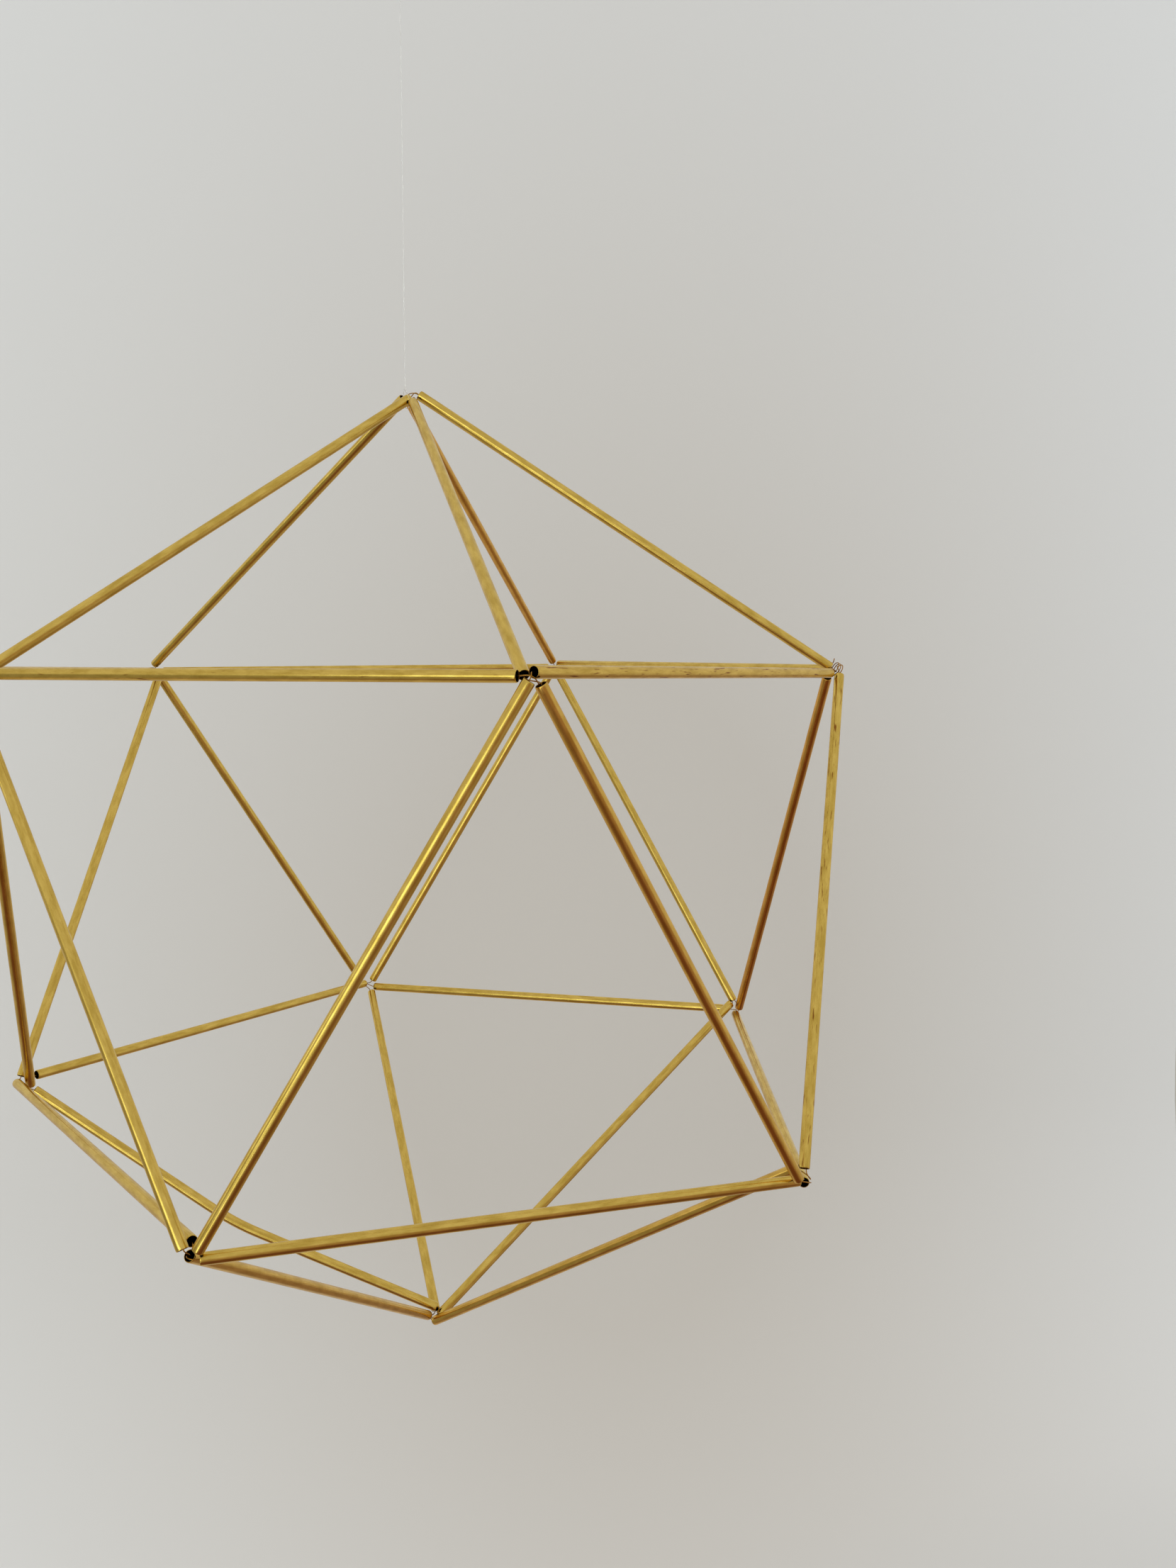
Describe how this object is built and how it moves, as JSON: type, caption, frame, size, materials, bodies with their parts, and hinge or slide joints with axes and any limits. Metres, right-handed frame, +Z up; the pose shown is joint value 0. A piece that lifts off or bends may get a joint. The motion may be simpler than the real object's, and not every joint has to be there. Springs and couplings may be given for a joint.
{
  "type": "himmeli ornament",
  "caption": "Hanging himmeli ornament: an open ball-like frame of thin brass tubes strung on wire, hung from its top corner by a clear thread.",
  "frame": {"origin": "inside of the hanging loop's top, where a hook or nail carries it", "axes": "+Z up along the hanging thread; -Y towards the upper ring's front corner; +X to the right seen from the front"},
  "size_m": [0.2585, 0.2686, 0.4353],
  "materials": {
    "drawn_brass_tube": "satin, drawn along the tube, lightly tarnished",
    "brass_wire": "bright drawn wire",
    "clear_nylon": "clear monofilament"
  },
  "bodies": {
    "root": {"crown_tube_front": "drawn_brass_tube", "crown_tube_right": "drawn_brass_tube", "crown_tube_back_right": "drawn_brass_tube", "crown_tube_back_left": "drawn_brass_tube", "crown_tube_left": "drawn_brass_tube", "upper_ring_tube_front_right": "drawn_brass_tube", "upper_ring_tube_right": "drawn_brass_tube", "upper_ring_tube_back": "drawn_brass_tube", "upper_ring_tube_back_left": "drawn_brass_tube", "upper_ring_tube_front_left": "drawn_brass_tube", "side_tube_1": "drawn_brass_tube", "side_tube_2": "drawn_brass_tube", "side_tube_3": "drawn_brass_tube", "side_tube_4": "drawn_brass_tube", "side_tube_5": "drawn_brass_tube", "side_tube_6": "drawn_brass_tube", "side_tube_7": "drawn_brass_tube", "side_tube_8": "drawn_brass_tube", "side_tube_9": "drawn_brass_tube", "side_tube_10": "drawn_brass_tube", "lower_ring_tube_front": "drawn_brass_tube", "lower_ring_tube_right": "drawn_brass_tube", "lower_ring_tube_back_right": "drawn_brass_tube", "lower_ring_tube_back_left": "drawn_brass_tube", "lower_ring_tube_left": "drawn_brass_tube", "base_tube_front_left": "drawn_brass_tube", "base_tube_front_right": "drawn_brass_tube", "base_tube_right": "drawn_brass_tube", "base_tube_back": "drawn_brass_tube", "base_tube_left": "drawn_brass_tube", "threading_wire": "brass_wire", "hanging_thread": "clear_nylon", "hanging_loop": "clear_nylon"}
  },
  "joints": []
}
